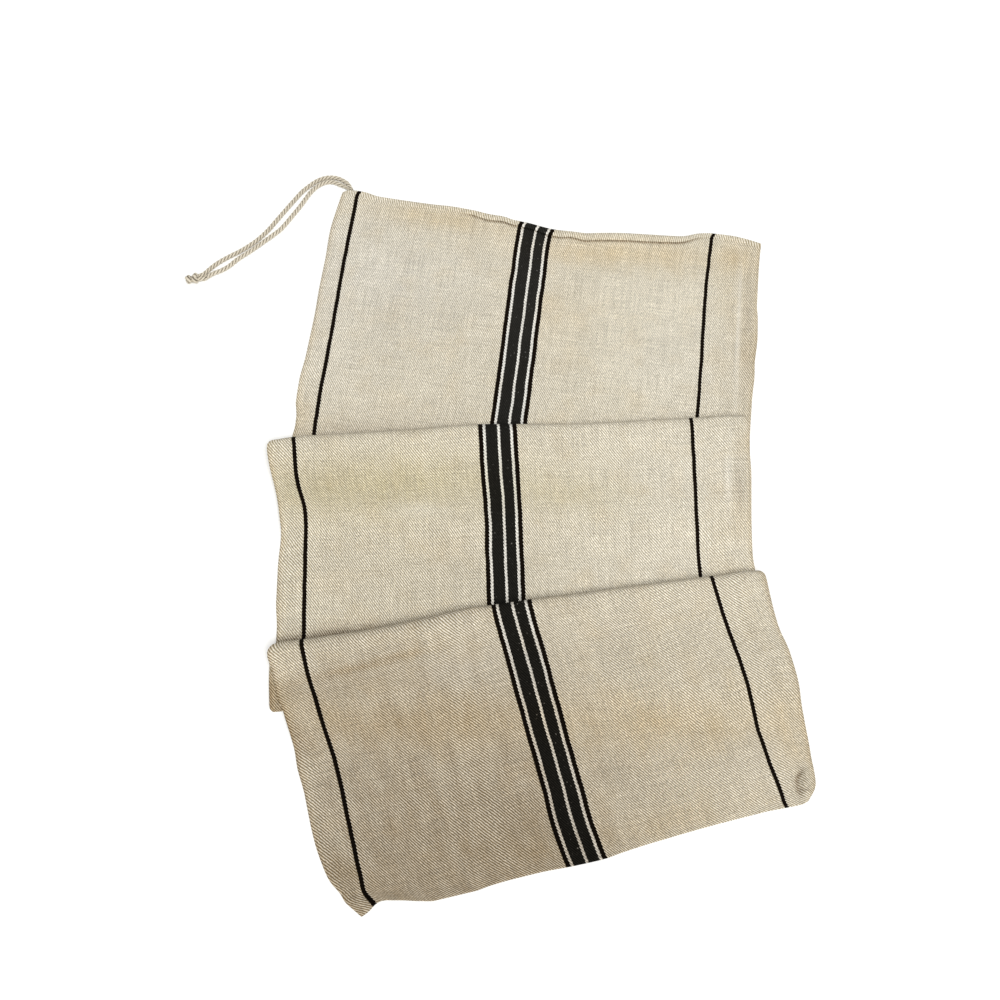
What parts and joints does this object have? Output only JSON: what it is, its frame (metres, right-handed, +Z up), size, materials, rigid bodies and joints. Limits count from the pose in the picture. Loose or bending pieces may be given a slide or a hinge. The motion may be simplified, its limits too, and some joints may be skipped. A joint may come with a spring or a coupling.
{
  "type": "feed sack",
  "caption": "Empty striped twill grain sack lying flat in loose back-and-forth folds, open at its hemmed mouth, with a doubled and knotted tie cord at one corner.",
  "frame": {"origin": "on the floor under the middle of the folded sack, without its tie cord", "axes": "+Z up, +Y from the closed bottom towards the mouth, +X to the right across the sack"},
  "size_m": [0.693, 0.8589, 0.0264],
  "materials": {
    "linen_twill": "matte unbleached twill with black and white warp stripes",
    "tie_cord": "matte laid cotton cord"
  },
  "bodies": {
    "root": {"sack_cloth": "linen_twill", "tie_leg_outer": "tie_cord", "tie_leg_inner": "tie_cord", "tie_knot": "tie_cord"}
  },
  "joints": []
}
